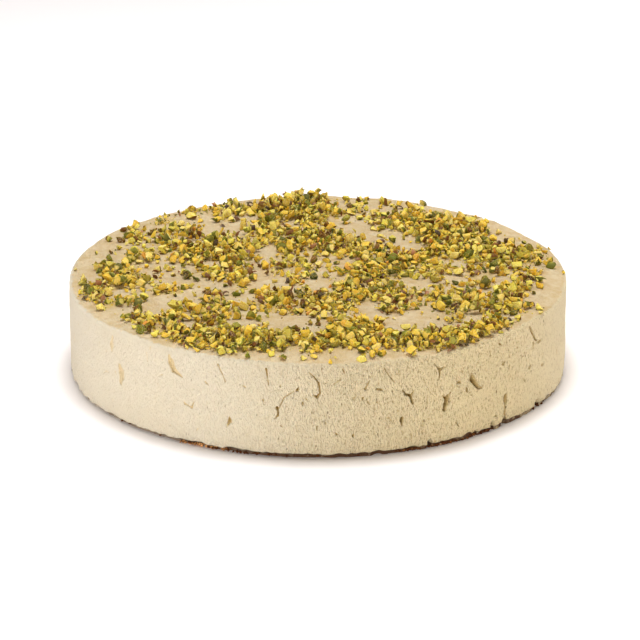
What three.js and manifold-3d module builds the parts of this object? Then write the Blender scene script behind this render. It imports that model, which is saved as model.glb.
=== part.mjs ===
// A round cake of pistachio halva as it comes out of its mould: one solid block of pressed
// tahini and sugar, standing on its flat foot. Millimetres, +Z up, origin at the middle of the
// foot. The chopped pistachios strewn over the top are finer than this model and are left out.

import * as THREE from "three";
import { mergeVertices } from "three/addons/utils/BufferGeometryUtils.js";
import Module from "manifold-3d";

const wasm = await Module();
wasm.setup();

// ---- Driving dimensions ---------------------------------------------------------------------

const DIAMETER = 300;
const HEIGHT = 59.2;
const RADIUS = DIAMETER / 2;

const SEGMENTS = 96; // columns round the cake
const RIM_RADIUS = 2; // rounding between the wall and the top
const RIM_STEPS = 3;
const WALL_ROWS = 6;
const TOP_RINGS = 9;
const TOP_SLOPE_WIDTH = 16; // band inside the rim where the top starts to fall
const TOP_SLOPE_FALL = 1.1;
const TOP_WAVE = 0.45; // unevenness of the trowelled top

const FOOT_GAP = 2.2; // the wall ends this far above the ground
const FOOT_RECESS = 3; // the foot under it stands this far in
const FOOT_SLOPE = 0.6;
const FOOT_INSET = 8; // ring of flat foot inside its edge
const EDGE_CRUMBLE = 0.7; // the wall's lower edge has crumbled, by this much and as much again
const EDGE_HEIGHT = 1.4;

// The wall isn't a true circle: it bulges and flattens a little, at an angle from +X, in degrees.
const BULGES = [
  { angle: 8, rise: 0.3, spread: 12 },
  { angle: 32, rise: -0.8, spread: 10 },
  { angle: 64, rise: 1.2, spread: 17 },
  { angle: 124, rise: -0.7, spread: 13 },
  { angle: 147, rise: 1.0, spread: 8 },
  { angle: 205, rise: 0.7, spread: 10 },
  { angle: 266, rise: 0.6, spread: 16 },
  { angle: 319, rise: -1.2, spread: 13 },
  { angle: 343, rise: 0.5, spread: 7 },
];

// Creases where the pressed mass didn't quite close against the mould. Each is a wedge cut into
// the wall: its angle from +X, its upper and lower end above the wall's lower edge, how far the
// lower end is to the right of the upper one, its width at the surface, and its depth.
const CREASES = [
  { angle: 219.8, top: 32, foot: 22.7, lean: 1.5, width: 5.5, depth: 5 },
  { angle: 237.0, top: 50, foot: 38.5, lean: 8, width: 2.6, depth: 4 },
  { angle: 248.2, top: 50, foot: 40.3, lean: 3.6, width: 1.6, depth: 3 },
  { angle: 250.2, top: 19.6, foot: 13, lean: 0.5, width: 3, depth: 3.5 },
  { angle: 261.0, top: 28.4, foot: 21.4, lean: 1.2, width: 2.8, depth: 5 },
  { angle: 269.8, top: 49.9, foot: 35.5, lean: 1.4, width: 1.4, depth: 3 },
  { angle: 280.7, top: 45, foot: 39.2, lean: 0.4, width: 1.3, depth: 2.5 },
  { angle: 290.3, top: 35.6, foot: 26.4, lean: 0.6, width: 2, depth: 3.5 },
  { angle: 299.2, top: 28, foot: 18.5, lean: -0.4, width: 2.8, depth: 6 },
  { angle: 307.2, top: 39.8, foot: 27.3, lean: 8, width: 3.4, depth: 6 },
  { angle: 317.1, top: 17, foot: 8, lean: 0.5, width: 1.8, depth: 3.5 },
  { angle: 327.5, top: 53, foot: 41.4, lean: 1.2, width: 1.6, depth: 3 },
];
const CREASE_SIDES = 8;
const CREASE_PROUD = 1.5; // the cutter stands this far out of the wall

// Chips broken out of the wall's lower edge: angle from +X, width along the wall, height and depth.
const CHIPS = [
  { angle: 246, width: 6, height: 3, depth: 4 },
  { angle: 285, width: 5, height: 2.6, depth: 3.5 },
  { angle: 295.5, width: 6, height: 4.2, depth: 5 },
  { angle: 308, width: 4, height: 3.4, depth: 4 },
  { angle: 317.2, width: 4.5, height: 5, depth: 5 },
  { angle: 330, width: 6, height: 3.6, depth: 4.5 },
];

const HALVA_COLOUR = 0xe4d6b4;
const radians = THREE.MathUtils.degToRad;

// ---- The block's surface --------------------------------------------------------------------

// Distance from the axis to the wall at an angle in degrees, before the cake is centred.
function wallRadius(angle) {
  let radius = RADIUS;
  for (const bulge of BULGES) {
    const away = ((angle - bulge.angle + 540) % 360) - 180;
    radius += bulge.rise * Math.exp(-((away / bulge.spread) ** 2));
  }
  return radius;
}

// How far the wall's lower edge has crumbled at an angle, from 0 to 1.
function ragged(angle) {
  const a = radians(angle);
  return 0.5 + 0.22 * Math.sin(17 * a + 1.1) + 0.16 * Math.sin(29 * a) + 0.12 * Math.sin(41 * a + 2);
}

// Height of the top surface at a distance inside the wall and an angle.
function topHeight(inside, angle) {
  const a = radians(angle);
  const radius = RADIUS - inside;
  const edge = Math.max(0, 1 - inside / TOP_SLOPE_WIDTH);
  const x = radius * Math.cos(a);
  const y = radius * Math.sin(a);
  const wave = Math.sin(x / 23 + 1) * Math.cos(y / 19) + 0.6 * Math.sin((x - y) / 37);
  return HEIGHT - TOP_SLOPE_FALL * edge ** 2 + TOP_WAVE * (wave - 1);
}

// The section of the block at an angle, as [radius, height] points from the middle of the foot
// out and up to the rim and back in to the middle of the top.
function section(angle) {
  const wall = wallRadius(angle);
  const crumbled = EDGE_CRUMBLE * (1 + ragged(angle));
  const points = [
    [wall - FOOT_INSET, 0],
    [wall - FOOT_RECESS, 0],
    [wall - FOOT_RECESS + FOOT_SLOPE, FOOT_GAP - FOOT_SLOPE],
    [wall - crumbled, FOOT_GAP],
    [wall - 0.35 * crumbled, FOOT_GAP + EDGE_HEIGHT * (0.4 + 0.5 * ragged(angle))],
  ];
  const rimFoot = topHeight(RIM_RADIUS, angle) - RIM_RADIUS;
  for (let row = 0; row <= WALL_ROWS; row++) {
    const height = THREE.MathUtils.lerp(FOOT_GAP + EDGE_HEIGHT * 1.6, rimFoot, row / WALL_ROWS);
    points.push([wall, height]);
  }
  for (let step = 1; step <= RIM_STEPS; step++) {
    const turn = (Math.PI / 2) * (step / RIM_STEPS);
    points.push([
      wall - RIM_RADIUS * (1 - Math.cos(turn)),
      rimFoot + RIM_RADIUS * Math.sin(turn),
    ]);
  }
  for (let ring = 1; ring < TOP_RINGS; ring++) {
    const inside = RIM_RADIUS + (wall - RIM_RADIUS) * (ring / TOP_RINGS) ** 1.4;
    points.push([wall - inside, topHeight(inside, angle)]);
  }
  return points;
}

// The block is a LatheGeometry whose rings are then moved to each angle's own section.
function blockGeometry() {
  const rings = section(0).length;
  const profile = [new THREE.Vector2(0, 0)];
  for (const [radius, height] of section(0)) profile.push(new THREE.Vector2(radius, height));
  profile.push(new THREE.Vector2(0, topHeight(RADIUS, 0)));
  const lathe = new THREE.LatheGeometry(profile, SEGMENTS);
  const places = lathe.getAttribute("position");
  for (let column = 0; column <= SEGMENTS; column++) {
    const angle = ((column % SEGMENTS) * 360) / SEGMENTS;
    const points = section(angle);
    const base = column * (rings + 2);
    places.setXYZ(base, 0, 0, 0);
    points.forEach(([radius, height], ring) => {
      const x = radius * Math.cos(radians(angle));
      const y = radius * Math.sin(radians(angle));
      places.setXYZ(base + 1 + ring, x, y, height);
    });
    places.setXYZ(base + rings + 1, 0, 0, topHeight(RADIUS, 0));
  }
  return lathe;
}

// ---- Cutting --------------------------------------------------------------------------------

// A closed geometry as a manifold-3d solid.
function solidOf(geometry) {
  geometry.deleteAttribute("normal");
  geometry.deleteAttribute("uv");
  const merged = mergeVertices(geometry, 1e-4);
  const mesh = new wasm.Mesh({
    numProp: 3,
    vertProperties: new Float32Array(merged.getAttribute("position").array),
    triVerts: new Uint32Array(merged.index.array),
  });
  return new wasm.Manifold(mesh);
}

// A manifold-3d solid as a geometry with flat faces.
function geometryOf(solid) {
  const mesh = solid.getMesh();
  const geometry = new THREE.BufferGeometry();
  geometry.setAttribute("position", new THREE.BufferAttribute(mesh.vertProperties, 3));
  geometry.setIndex(new THREE.BufferAttribute(mesh.triVerts, 1));
  return geometry;
}

// A cone that points into the wall: its mouth is an oval of the given width and length whose
// long side is turned by tilt from upright, and its tip is at the given depth.
function wedge({ angle, middle, width, length, depth, tilt }) {
  const wall = wallRadius(angle);
  const share = (depth + CREASE_PROUD) / depth; // the mouth widens outside the wall at one slope
  const cone = new THREE.ConeGeometry(0.5, 1, CREASE_SIDES);
  cone.translate(0, -0.5, 0); // tip at the origin, mouth at y = -1
  cone.rotateZ(Math.PI / 2); // tip at the origin, mouth towards +X
  cone.scale(depth + CREASE_PROUD, width * share, length * share);
  cone.rotateX(tilt);
  cone.translate(wall - depth, 0, middle);
  cone.rotateZ(radians(angle));
  return solidOf(cone);
}

function creaseCutter({ angle, top, foot, lean, width, depth }) {
  const rise = top - foot;
  return wedge({
    angle,
    middle: FOOT_GAP + (top + foot) / 2,
    width,
    length: Math.hypot(rise, lean),
    depth,
    tilt: Math.atan2(lean, rise),
  });
}

// A chip is a wedge centred on the wall's lower edge, so that its upper half is cut out.
function chipCutter({ angle, width, height, depth }) {
  return wedge({ angle, middle: FOOT_GAP, width, length: 2 * height, depth, tilt: 0 });
}

// ---- The part -------------------------------------------------------------------------------

function halvaGeometry() {
  let block = solidOf(blockGeometry());
  for (const crease of CREASES) block = block.subtract(creaseCutter(crease));
  for (const chip of CHIPS) block = block.subtract(chipCutter(chip));
  const geometry = geometryOf(block);
  geometry.computeBoundingBox();
  const { min, max } = geometry.boundingBox;
  geometry.translate(-(min.x + max.x) / 2, -(min.y + max.y) / 2, -min.z);
  geometry.computeVertexNormals();
  return geometry;
}

const halva = new THREE.Mesh(
  halvaGeometry(),
  new THREE.MeshStandardMaterial({ color: HALVA_COLOUR, roughness: 0.72, metalness: 0 }),
);
halva.name = "halva";

const group = new THREE.Group();
group.add(halva);

export default group;
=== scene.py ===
"""Looks of a round cake of pistachio halva: the pressed block, and the chopped pistachios on it.

The block keeps the size and outline of the solid that it replaces. Everything else is worked out
from that solid's box and from a few real sizes in millimetres.
"""

import functools
import math
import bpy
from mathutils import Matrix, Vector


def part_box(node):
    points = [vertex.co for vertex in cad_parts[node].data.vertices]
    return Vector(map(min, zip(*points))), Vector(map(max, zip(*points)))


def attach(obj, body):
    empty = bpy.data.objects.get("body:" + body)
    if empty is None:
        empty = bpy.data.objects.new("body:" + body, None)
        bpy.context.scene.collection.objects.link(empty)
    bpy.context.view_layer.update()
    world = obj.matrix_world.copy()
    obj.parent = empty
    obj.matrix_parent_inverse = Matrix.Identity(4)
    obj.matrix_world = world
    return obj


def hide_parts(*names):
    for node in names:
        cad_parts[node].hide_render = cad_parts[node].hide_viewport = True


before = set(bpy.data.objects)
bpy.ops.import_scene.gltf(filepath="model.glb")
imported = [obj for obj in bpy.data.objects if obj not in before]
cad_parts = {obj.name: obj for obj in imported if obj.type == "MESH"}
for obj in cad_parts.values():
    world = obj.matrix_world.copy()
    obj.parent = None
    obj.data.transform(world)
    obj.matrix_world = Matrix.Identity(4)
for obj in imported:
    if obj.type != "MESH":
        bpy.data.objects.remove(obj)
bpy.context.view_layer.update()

from types import SimpleNamespace

import bmesh
import bpy
import numpy as np
from bpy.props import FloatProperty, FloatVectorProperty, IntProperty, PointerProperty, StringProperty
from bpy.types import Operator, Panel, PropertyGroup
from mathutils import Euler, Matrix, Vector
from mathutils.bvhtree import BVHTree

bl_info = {
    "name": "Pistachio halva",
    "version": (1, 0, 0),
    "blender": (4, 5, 0),
    "location": "3D View > Sidebar > Halva",
    "description": "Builds a round cake of halva strewn with chopped pistachios",
    "category": "Object",
}

MM = 0.001
BLOCK_LOW, BLOCK_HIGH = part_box("halva")
HEIGHT = (BLOCK_HIGH.z - BLOCK_LOW.z) / MM
RADIUS = (BLOCK_HIGH.x - BLOCK_LOW.x + BLOCK_HIGH.y - BLOCK_LOW.y) / 4 / MM
GAP = 2.2  # mm, the height at which the wall ends, over a foot that is set back
WALL = HEIGHT - GAP


# ---- Small tools ------------------------------------------------------------------------------


def linear(colour):
    """The linear RGBA of an sRGB hex colour such as "#e4d6b4"."""
    channels = [int(colour[i : i + 2], 16) / 255 for i in (1, 3, 5)]
    return tuple(c / 12.92 if c <= 0.04045 else ((c + 0.055) / 1.055) ** 2.4 for c in channels) + (1.0,)


def add_node(tree, kind, inputs=(), stops=None, output=0, **settings):
    """Adds a node with its settings, its colour stops, and values or links for its inputs.

    Inputs are given by name or in their order. Gives the output that is named, or else the first.
    """
    made = tree.nodes.new("ShaderNode" + kind)
    for name, value in settings.items():
        setattr(made, name, value)
    for name, value in inputs.items() if isinstance(inputs, dict) else enumerate(inputs):
        if isinstance(value, bpy.types.NodeSocket):
            tree.links.new(value, made.inputs[name])
        else:
            made.inputs[name].default_value = value
    if stops:
        elements = made.color_ramp.elements
        while len(elements) < len(stops):
            elements.new(1.0)
        for element, (place, colour) in zip(elements, stops):
            element.position = place
            element.color = colour
    return made.outputs[output] if made.outputs else None


def new_material(name):
    """A material, and the function that adds nodes to its empty tree."""
    material = bpy.data.materials.new(name)
    material.use_nodes = True
    material.node_tree.nodes.clear()
    return material, functools.partial(add_node, material.node_tree)


def add_object(name, mesh, *materials):
    """Links a mesh object at the origin with its materials."""
    made = bpy.data.objects.new(name, mesh)
    for material in materials:
        mesh.materials.append(material)
    bpy.context.scene.collection.objects.link(made)
    return made


def smooth_step(low, high, value):
    """Rises softly from 0 at the low value to 1 at the high one."""
    t = np.clip((value - low) / (high - low), 0, 1)
    return t * t * (3 - 2 * t)


def lattice_noise(points, size, seed):
    """Smooth noise from -1 to 1 at each row of points, with lumps about size across."""
    table = np.random.default_rng(seed).uniform(-1, 1, 4096)
    scaled = np.asarray(points) / size
    cell = np.floor(scaled).astype(np.int64)
    part = scaled - cell
    part = part * part * (3 - 2 * part)
    total = np.zeros(len(scaled))
    for corner in np.ndindex(2, 2, 2):
        x, y, z = (cell + corner).T
        weight = np.prod(np.where(corner, part, 1 - part), axis=1)
        total += weight * table[(x * 73856093 ^ y * 19349663 ^ z * 83492791) & 4095]
    return total


def layered_noise(points, layers):
    """The sum of noises, each given by its strength, the size of its lumps and its seed."""
    return sum(strength * lattice_noise(points, size, seed) for strength, size, seed in layers)


def read_points(mesh):
    """A mesh's vertices in millimetres, one row each."""
    flat = np.empty(len(mesh.vertices) * 3)
    mesh.vertices.foreach_get("co", flat)
    return flat.reshape(-1, 3) / MM


def write_points(mesh, points):
    """Moves a mesh's vertices to these places in millimetres."""
    mesh.vertices.foreach_set("co", (np.asarray(points) * MM).ravel())
    mesh.update()


def finished_mesh(made, name):
    """A mesh of what a bmesh holds, which is then done with."""
    mesh = bpy.data.meshes.new(name)
    made.to_mesh(mesh)
    made.free()
    return mesh


def write_values(mesh, name, values):
    """Stores one number for each vertex under a name that materials read."""
    mesh.attributes.new(name, "FLOAT", "POINT").data.foreach_set("value", np.asarray(values, np.float32))


# ---- The halva block: shape -------------------------------------------------------------------

# Creases where the mass didn't close against the mould: a depth in mm, and the points of the
# crease as angle from +X in degrees, height above the wall's lower edge in mm, and width in mm.
CREASES = (
    (1.4, ((217.9, 51.8, 2.6), (217.7, 46.6, 4.6), (217.5, 42.4, 2.4))),
    (0.7, ((229.2, 50.0, 0.9), (229.5, 44.2, 0.9))),
    (3.6, ((220.2, 34.0, 2.6), (220.8, 30.2, 5.4), (221.0, 27.5, 4.6), (220.4, 23.2, 2.6))),
    (1.0, ((213.6, 23.8, 0.7), (214.9, 25.9, 1.2), (216.0, 26.0, 0.7))),
    (2.6, ((235.7, 52.4, 1.6), (236.2, 48.4, 4.6), (236.9, 43.4, 4.0), (239.0, 39.8, 1.0))),
    (1.6, ((239.4, 24.2, 0.5), (239.6, 22.9, 1.4), (240.5, 22.3, 0.7), (241.4, 21.4, 1.5))),
    (1.4, ((241.4, 21.4, 1.5), (242.0, 25.6, 0.6))),
    (1.3, ((247.9, 52.6, 0.8), (248.9, 47.0, 0.7), (249.7, 41.7, 0.6))),
    (2.2, ((250.5, 20.0, 0.8), (250.6, 17.4, 2.6), (250.3, 15.4, 1.4), (249.9, 13.4, 0.6))),
    (1.2, ((253.8, 40.6, 0.9), (254.3, 39.9, 0.8))),
    (1.9, ((258.9, 52.6, 1.4), (259.1, 49.2, 0.7), (259.4, 42.8, 0.6))),
    (0.9, ((262.0, 43.2, 0.8), (262.0, 42.0, 0.6))),
    (3.0, ((261.3, 28.2, 2.0), (261.5, 25.9, 1.1), (261.5, 23.6, 1.4), (260.8, 21.7, 0.6))),
    (1.0, ((261.8, 28.4, 0.7), (262.8, 34.8, 0.7), (264.9, 39.4, 0.6))),
    (2.2, ((265.7, 40.4, 1.7), (266.0, 42.4, 0.6))),
    (1.9, ((268.2, 52.4, 0.5), (269.3, 49.2, 0.7), (270.3, 45.2, 0.9), (270.6, 38.2, 0.9))),
    (2.6, ((270.6, 38.2, 0.9), (269.9, 35.7, 1.6), (269.3, 36.7, 0.8))),
    (1.3, ((275.5, 54.0, 1.0), (275.8, 51.8, 0.8))),
    (0.7, ((275.0, 47.7, 0.9), (273.6, 44.5, 0.9))),
    (1.6, ((281.3, 46.0, 0.7), (280.9, 43.2, 0.9), (280.4, 40.2, 1.5))),
    (2.0, ((283.0, 39.2, 1.2), (284.0, 38.4, 1.5))),
    (1.4, ((279.9, 33.6, 1.4),)),
    (1.2, ((280.9, 31.4, 0.9), (281.5, 29.4, 0.6))),
    (1.2, ((284.6, 52.9, 0.6), (285.7, 47.8, 0.7), (286.9, 43.1, 0.6))),
    (2.8, ((288.9, 36.6, 0.8), (289.5, 33.6, 1.2), (290.7, 32.0, 1.8))),
    (3.2, ((290.7, 32.0, 1.8), (290.9, 29.6, 1.4), (291.3, 27.0, 1.2))),
    (2.0, ((291.4, 35.5, 0.6), (290.8, 32.2, 1.3))),
    (4.4, ((288.7, 18.8, 2.3), (288.6, 17.2, 2.1), (288.7, 14.6, 0.8))),
    (1.6, ((296.3, 51.8, 0.5), (297.0, 49.4, 0.6), (297.6, 47.2, 1.8))),
    (2.0, ((297.6, 47.2, 1.8), (297.7, 44.2, 1.2), (297.5, 40.3, 0.5))),
    (1.6, ((299.0, 48.2, 0.6), (298.0, 47.2, 1.5))),
    (3.8, ((299.7, 27.2, 3.8), (299.4, 23.8, 3.1), (299.0, 20.4, 3.1))),
    (2.0, ((300.5, 29.6, 0.7), (300.0, 28.0, 1.4))),
    (2.2, ((298.5, 28.8, 0.6), (298.9, 27.4, 1.2))),
    (2.0, ((302.4, 35.0, 1.2), (303.0, 35.2, 1.5))),
    (2.5, ((306.2, 39.2, 0.8), (306.4, 35.2, 3.9), (307.2, 31.5, 3.6), (308.3, 28.0, 2.2))),
    (1.8, ((308.3, 28.0, 1.4), (309.4, 27.4, 0.6))),
    (2.0, ((304.8, 30.6, 0.6), (304.9, 28.4, 1.7))),
    (1.4, ((302.1, 10.4, 0.8), (302.8, 7.8, 0.8))),
    (0.9, ((293.5, 9.2, 0.9), (293.7, 7.6, 0.7))),
    (1.6, ((314.6, 53.0, 0.8), (315.2, 52.0, 1.3), (315.6, 51.0, 0.6))),
    (2.2, ((316.1, 37.6, 2.0), (316.7, 39.4, 0.8))),
    (1.5, ((318.4, 35.0, 0.9), (318.2, 32.8, 1.2))),
    (1.2, ((318.5, 42.0, 0.8), (318.4, 40.4, 1.0))),
    (1.2, ((321.2, 45.4, 0.8), (321.6, 44.0, 1.1))),
    (2.4, ((325.9, 54.0, 1.3), (326.4, 52.2, 1.9), (328.0, 46.2, 1.7), (329.0, 42.6, 1.2))),
    (1.5, ((327.8, 42.0, 1.5), (327.8, 38.4, 1.6))),
    (1.5, ((329.6, 40.6, 1.2), (330.8, 41.2, 1.5))),
    (1.8, ((326.3, 26.6, 1.8), (326.9, 28.2, 0.8))),
    (1.8, ((324.0, 21.9, 1.0), (324.3, 20.2, 1.3))),
    (1.6, ((331.8, 24.4, 1.8),)),
    (1.0, ((331.6, 32.0, 0.8), (331.6, 30.6, 0.8))),
    (4.0, ((317.2, 15.8, 3.8), (317.3, 12.6, 2.4), (317.2, 8.0, 1.0), (317.2, 4.0, 2.2))),
    (1.0, ((340.8, 27.6, 1.8), (341.0, 22.8, 1.6))),
    (1.4, ((269.9, 17.6, 0.8), (269.9, 15.6, 0.8))),
    (1.4, ((274.0, 13.2, 1.0), (274.2, 12.2, 1.2))),
    (1.5, ((277.8, 11.2, 1.4),)),
    (1.4, ((266.9, 32.0, 1.0), (266.9, 30.6, 0.8))),
    (0.8, ((271.8, 20.0, 0.8), (271.9, 18.8, 0.6))),
)
UNSEEN_ARC = (-8.0, 196.0)  # the side away from the viewer gets like creases at random places
UNSEEN_CREASES = 44
PITS = 110
CREASE_SEED = 41
EDGE_SOFTNESS = 0.22  # mm over which a crease's wall falls away
REACH = 30  # mm, further than any crease goes from its first point
FINER_WITHIN = (0.75, 0.35)  # mm from a crease's edge, where the wall's cells are split in turn

# The surface's unevenness: each noise's strength, the size of its lumps in mm and its seed. The
# strengths are in mm, or shares of a height in mm for the rim's nicks and the top's mounds.
WAVES = ((0.35, 34, 1), (0.28, 15, 2))
GRAIN = ((0.16, 4.2, 3), (0.15, 2.1, 4))
RIM_NICKS = ((1, 2.6, 14), (0.5, 7, 15))
MOUNDS = ((1, 26, 7), (0.55, 11, 8))
EDGE_LUMPS = ((1.3, 8, 12), (0.8, 3.6, 13))
DRAWN_OUT = (1.0, 1.0, 0.45)  # grain and pores are longer upwards, as the mould was drawn off

# The section of the wall's lower edge and of the foot under it: mm in from the wall, and height.
FOOT_PROFILE = (
    (0.0, 5.4), (0.0, 4.7), (0.0, 4.1), (0.0, 3.5), (0.0, 3.0), (0.1, 2.6), (0.4, 2.3),
    (0.7, 2.1), (0.9, 1.85), (1.0, 1.5), (0.9, 1.0), (0.7, 0.5), (0.6, 0.0), (8.0, 0.0),
)

# Chips broken from the wall's lower edge: angle, width, height and depth in mm.
CHIPS = (
    (243.0, 9.0, 1.6, 2.0), (250.0, 6.0, 1.4, 2.2), (283.0, 6.0, 0.9, 1.6),
    (291.5, 9.0, 1.4, 2.2), (295.5, 3.4, 3.4, 4.0), (308.0, 4.2, 2.6, 3.4),
    (313.0, 3.6, 3.8, 4.0), (317.3, 4.4, 4.2, 4.0), (330.2, 7.0, 4.0, 4.0),
)


def cad_outline():
    """The solid's wall radius in mm as a function of the angle in degrees."""
    points = read_points(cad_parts["halva"].data)
    radius = np.hypot(points[:, 0], points[:, 1])
    angle = np.degrees(np.arctan2(points[:, 1], points[:, 0])) % 360
    on_wall = (points[:, 2] > 0.2 * HEIGHT) & (points[:, 2] < 0.8 * HEIGHT) & (radius > 0.9 * RADIUS)
    bins = 72
    slot = (angle[on_wall] / 360 * bins).astype(int)
    widest = np.array([radius[on_wall][slot == i].max() for i in range(bins)])
    centres = (np.arange(bins) + 0.5) * 360 / bins
    return lambda at: np.interp(at, centres, widest, period=360)


def cad_top():
    """The height of the solid's top in mm under each x and y."""
    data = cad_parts["halva"].data
    tree = BVHTree.FromPolygons([v.co for v in data.vertices], [p.vertices for p in data.polygons])

    def height(x, y):
        hit = tree.ray_cast(Vector((x * MM, y * MM, 1.0)), Vector((0, 0, -1)))[0]
        return hit.z / MM if hit else HEIGHT

    return height


def crease_list():
    """The named creases, like ones at random places on the unseen side, and small pits."""
    rng = np.random.default_rng(CREASE_SEED)
    creases = list(CREASES)
    for _ in range(UNSEEN_CREASES):
        angle = rng.uniform(*UNSEEN_ARC)
        top = rng.uniform(14, WALL - 5)
        length = rng.uniform(2, 10)
        widest = rng.uniform(0.7, 2.6)
        steps = rng.integers(2, 5)
        points = []
        for step in range(steps):
            share = step / (steps - 1)
            angle += rng.normal(0, 0.5)
            width = widest * (1 - 0.7 * abs(2 * share - 0.7)) * rng.uniform(0.7, 1.1)
            points.append((angle, max(top - length * share, 3), max(width, 0.5)))
        creases.append((rng.uniform(1.0, 1.6) * widest, tuple(points)))
    for _ in range(PITS):
        angle = rng.uniform(0, 360)
        height = rng.uniform(3, WALL - 3)
        width = rng.uniform(0.6, 1.2)
        tall = rng.uniform(0.1, 0.9)
        lean = rng.normal(0, 0.25)
        ends = ((angle - lean, height + tall, width), (angle + lean, height - tall, 0.6 * width))
        creases.append((rng.uniform(0.6, 1.2), ends))
    return creases


def crease_field(along, height, creases):
    """How deep the creases are in mm at each place on the wall, and how near their edges are.

    along is the distance round the wall in mm, height that above the wall's lower edge. A crease is
    deepest near its left edge, which hangs over it, and slopes up to its right edge.
    """
    round_wall = 2 * math.pi * RADIUS
    depth = np.zeros(len(along))
    nearest = np.full(len(along), 1e3)
    ragged = 0.3 * lattice_noise(np.stack([along, height, 0 * along], 1), 1.5, 16)
    for deep, points in creases:
        widest = max(width for _, _, width in points)
        path = [(math.radians(a) * RADIUS, z, w) for a, z, w in points]
        if len(path) == 1:
            (at, z, width), = path
            path = [(at, z + 0.2 * width, width), (at, z - 0.2 * width, width)]
        mid = path[0][0]
        near_along = (along - mid + round_wall / 2) % round_wall - round_wall / 2
        close = np.nonzero((abs(near_along) < REACH) & (abs(height - path[0][1]) < REACH))[0]
        if not len(close):
            continue
        s, z = near_along[close], height[close]
        best = np.zeros(len(close))
        for (s0, z0, w0), (s1, z1, w1) in zip(path, path[1:]):
            s0, s1 = s0 - mid, s1 - mid
            length = max((s1 - s0) ** 2 + (z1 - z0) ** 2, 1e-9)
            t = np.clip(((s - s0) * (s1 - s0) + (z - z0) * (z1 - z0)) / length, 0, 1)
            across, up = s - s0 - t * (s1 - s0), z - z0 - t * (z1 - z0)
            away = np.hypot(across, up) + ragged[close] * min(1, widest / 2)
            half = (w0 + t * (w1 - w0)) / 2
            inside = 1 - smooth_step(-EDGE_SOFTNESS, EDGE_SOFTNESS, away - half)
            rise = np.clip((across / half + 0.6) / 1.6, 0, 1)
            floor = 1.4 * deep * (2 * half / widest) ** 0.6 * (1 - 0.95 * rise**0.8)
            best = np.maximum(best, inside * floor)
            nearest[close] = np.minimum(nearest[close], away - half)
        depth[close] = np.maximum(depth[close], best)
    return depth, nearest


def disc_place(x, y):
    """Where a point of the square from -1 to 1 goes on a disc of radius 1, ring by ring."""
    ring = max(abs(x), abs(y))
    if ring == 0:
        return 0.0, 0.0
    if abs(x) >= abs(y):
        angle = math.pi / 4 * (y / x) + (math.pi if x < 0 else 0)
    else:
        angle = math.pi / 2 - math.pi / 4 * (x / y) + (math.pi if y < 0 else 0)
    return ring * math.cos(angle), ring * math.sin(angle)


def block_cage(settings):
    """A plain wheel with even cells of about 1 mm on its wall, rounded at the rim, as a bmesh."""
    rim = settings.rim_radius / MM
    cage = bmesh.new()
    bmesh.ops.create_grid(cage, x_segments=settings.top_cells, y_segments=settings.top_cells, size=1.0)
    flat = RADIUS - rim
    for vert in cage.verts:
        x, y = disc_place(vert.co.x, vert.co.y)
        vert.co = Vector((x * flat, y * flat, HEIGHT))
    border = [e for e in cage.edges if e.is_boundary]
    bmesh.ops.subdivide_edges(cage, edges=border, cuts=1)
    for vert in cage.verts:
        if vert.is_boundary:
            vert.co.xy = vert.co.xy.normalized() * flat
    rim_steps = 4
    wall_top, wall_low = HEIGHT - rim, FOOT_PROFILE[0][1]
    wall_rows = round((wall_top - wall_low) / settings.wall_cell * MM)
    rings = []
    for step in range(1, rim_steps + 1):
        turn = math.pi / 2 * step / rim_steps
        rings.append((flat + rim * math.sin(turn), HEIGHT - rim + rim * math.cos(turn)))
    for row in range(1, wall_rows):
        rings.append((RADIUS, wall_top - (wall_top - wall_low) * row / wall_rows))
    rings += [(RADIUS - inset, height) for inset, height in FOOT_PROFILE]
    edge = [e for e in cage.edges if e.is_boundary]
    for radius, height in rings:
        grown = bmesh.ops.extrude_edge_only(cage, edges=edge)["geom"]
        edge = [g for g in grown if isinstance(g, bmesh.types.BMEdge)]
        for vert in (g for g in grown if isinstance(g, bmesh.types.BMVert)):
            vert.co.xy = vert.co.xy.normalized() * radius
            vert.co.z = height
    bmesh.ops.holes_fill(cage, edges=edge, sides=0)
    bmesh.ops.recalc_face_normals(cage, faces=cage.faces[:])
    return cage


def refine_near_creases(cage, creases):
    """Splits the wall's cells where a crease is near, so that its edges come out crisp."""
    for reach in FINER_WITHIN:
        faces = [f for f in cage.faces if abs(f.normal.z) < 0.6 and len(f.verts) < 9]  # upright ones
        centres = np.array([f.calc_center_median() for f in faces])
        along = np.arctan2(centres[:, 1], centres[:, 0]) % (2 * math.pi) * RADIUS
        near = crease_field(along, centres[:, 2] - GAP, creases)[1] < reach
        edges = dict.fromkeys(e for face, hit in zip(faces, near) if hit for e in face.edges)
        bmesh.ops.subdivide_edges(cage, edges=list(edges), cuts=1, use_grid_fill=True)


def survey(points):
    """Where each point is, in mm and degrees, and what the mass is like there."""
    x, y, z = points.T
    radius = np.hypot(x, y)
    angle = np.degrees(np.arctan2(y, x)) % 360
    along = np.radians(angle) * RADIUS
    across = x / RADIUS
    at = SimpleNamespace(x=x, y=y, z=z, radius=radius, angle=angle, along=along, across=across)
    at.outward = np.stack([x, y, 0 * z], 1) / np.maximum(radius, 1e-6)[:, None]
    at.wall = smooth_step(RADIUS - 4, RADIUS - 1, radius)
    at.low = 1 - smooth_step(GAP + 0.2, GAP + 4.4, z)

    # The mass was pressed less firmly towards the right, so its grain and pores are coarser there.
    at.loosely = smooth_step(-0.85, 0.62, across) * (1 - 0.4 * smooth_step(0.68, 1, across))
    # A painted warm glow of light reflected in the mass, which makes the wall more golden towards the right.
    at.golden = smooth_step(-0.6, 0.64, across) * (1 - 0.35 * smooth_step(0.7, 1, across))
    flat_foot = np.stack([along, z * 0.5, 0 * z], 1)
    at.lumpy = lattice_noise(flat_foot, 5.5, 5) + 0.7 * lattice_noise(points, 2.4, 6)
    return at


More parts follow.
